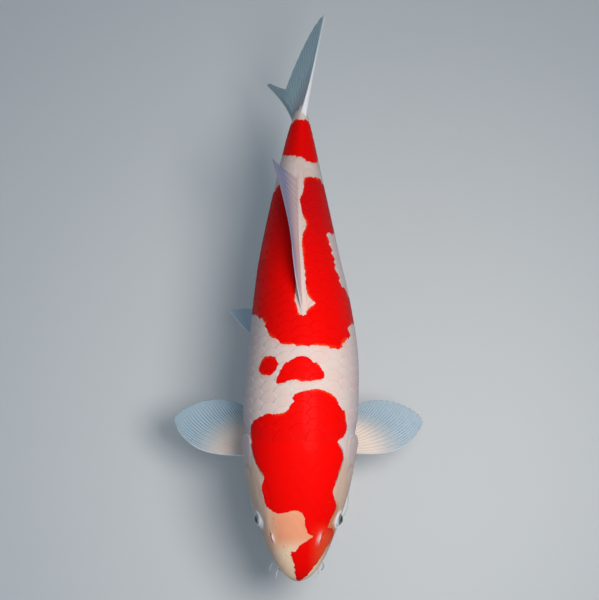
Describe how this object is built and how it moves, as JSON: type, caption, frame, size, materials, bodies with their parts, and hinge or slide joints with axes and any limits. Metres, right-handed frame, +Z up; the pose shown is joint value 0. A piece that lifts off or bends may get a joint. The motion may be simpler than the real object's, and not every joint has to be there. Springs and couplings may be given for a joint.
{
  "type": "koi carp",
  "caption": "Life-size red and white koi carp in a level swimming pose, fins spread and tail swept, held by rods over a plain display stand.",
  "frame": {"origin": "centre of the display stand's underside", "axes": "-Y towards the fish's snout, +Y towards its tail, +Z up through its back, +X to the fish's left"},
  "size_m": [0.2899, 0.6495, 0.2619],
  "materials": {
    "body_skin": "wet scaled skin, porcelain white with deep red patches",
    "head_skin": "smooth wet skin, peach white with deep red patches",
    "fin_membrane": "thin ribbed membrane, milky and half clear at the edge",
    "eye": "wet, dark pupil in a pale ring",
    "barbel": "soft wet skin",
    "stand_base": "satin pale grey paint",
    "stand_rod": "brushed"
  },
  "bodies": {
    "root": {"head": "head_skin", "lower_jaw": "head_skin", "gill_cover_left": "head_skin", "gill_cover_right": "head_skin", "trunk_front": "body_skin", "trunk_rear": "body_skin", "tail_stalk": "body_skin", "dorsal_fin": "fin_membrane", "anal_fin": "fin_membrane", "tail_fin": "fin_membrane", "pectoral_fin_left": "fin_membrane", "pectoral_fin_right": "fin_membrane", "pelvic_fin_left": "fin_membrane", "pelvic_fin_right": "fin_membrane", "eye_left": "eye", "eye_right": "eye", "barbel_corner_left": "barbel", "barbel_corner_right": "barbel", "barbel_lip_left": "barbel", "barbel_lip_right": "barbel", "stand_base": "stand_base", "stand_rod_front": "stand_rod", "stand_rod_rear": "stand_rod"}
  },
  "joints": []
}
